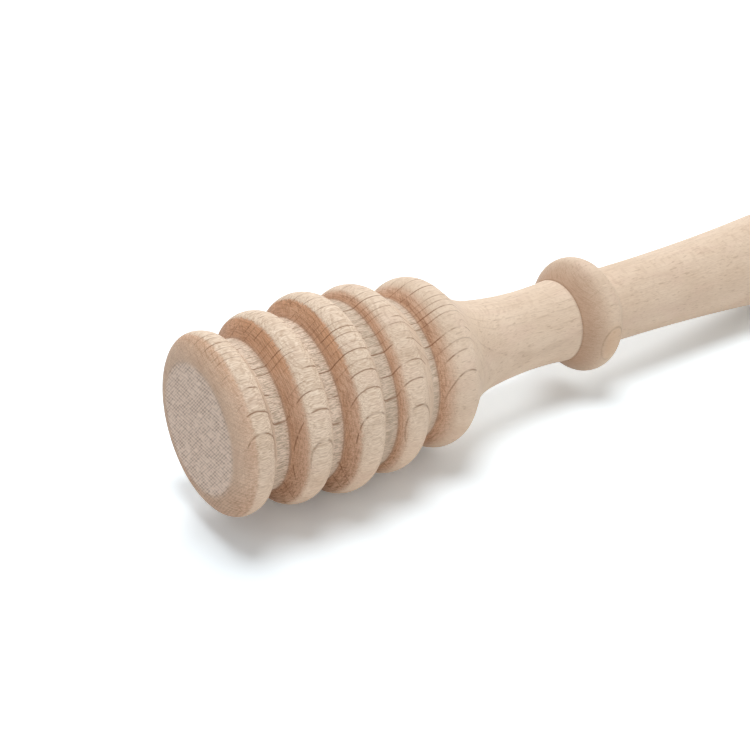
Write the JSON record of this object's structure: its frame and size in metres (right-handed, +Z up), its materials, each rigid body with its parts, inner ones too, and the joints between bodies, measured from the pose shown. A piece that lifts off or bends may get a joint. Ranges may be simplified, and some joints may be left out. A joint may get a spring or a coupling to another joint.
{
  "type": "honey dipper",
  "caption": "Turned wooden honey dipper: a grooved barrel head on a slim neck, glued into the bead of a swelling grip. Its grooves lift honey and let it run off in a thread.",
  "frame": {"origin": "centre of the flat front end of the grooved head", "axes": "+X along the turning axis from the flat front end to the end of the grip, +Z up as the dipper lies on a table"},
  "size_m": [0.16, 0.032, 0.032],
  "materials": {
    "head_beech": "bare sanded beech, rough-cut in the grooves",
    "handle_beech": "bare sanded beech"
  },
  "bodies": {
    "root": {"head": "head_beech", "handle": "handle_beech"}
  },
  "joints": []
}
